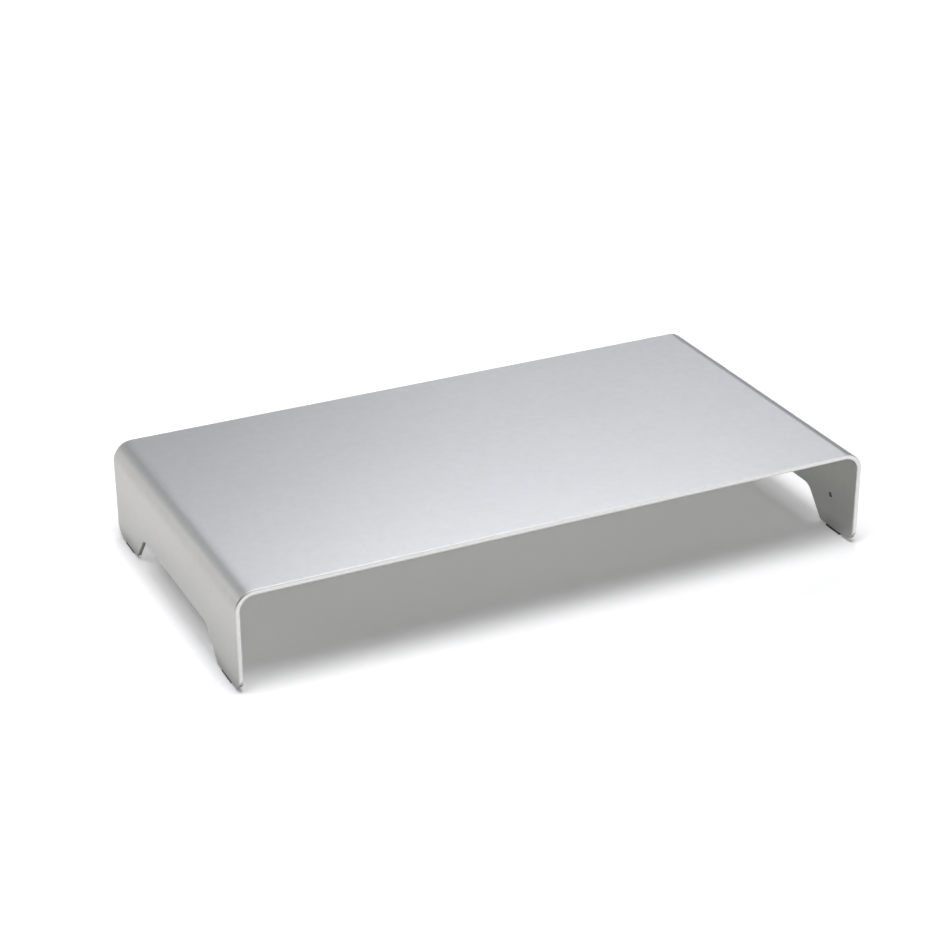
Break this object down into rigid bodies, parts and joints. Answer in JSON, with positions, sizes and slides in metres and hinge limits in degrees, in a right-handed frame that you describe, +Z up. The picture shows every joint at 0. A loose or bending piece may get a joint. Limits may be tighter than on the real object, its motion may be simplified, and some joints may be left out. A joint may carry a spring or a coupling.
{
  "type": "monitor riser stand",
  "caption": "Low bench-shaped monitor riser bent from one aluminium sheet, with arched side legs on thin rubber pads and an open bay underneath.",
  "frame": {"origin": "on the desk, below the middle of the top plate (bottom centre of the bounding box)", "axes": "+Z up, +X to the right across the width, -Y towards the user (front edge), +Y to the rear edge"},
  "size_m": [0.4, 0.21, 0.062],
  "materials": {
    "anodised_aluminium": "fine bead-blasted, clear anodised satin",
    "pad_rubber": "matt black, smooth",
    "pad_adhesive": "soft black acrylic adhesive film"
  },
  "bodies": {
    "root": {"riser_plate": "anodised_aluminium", "foot_pad_front_left": "pad_rubber", "pad_adhesive_front_left": "pad_adhesive", "foot_pad_front_right": "pad_rubber", "pad_adhesive_front_right": "pad_adhesive", "foot_pad_rear_left": "pad_rubber", "pad_adhesive_rear_left": "pad_adhesive", "foot_pad_rear_right": "pad_rubber", "pad_adhesive_rear_right": "pad_adhesive"}
  },
  "joints": []
}
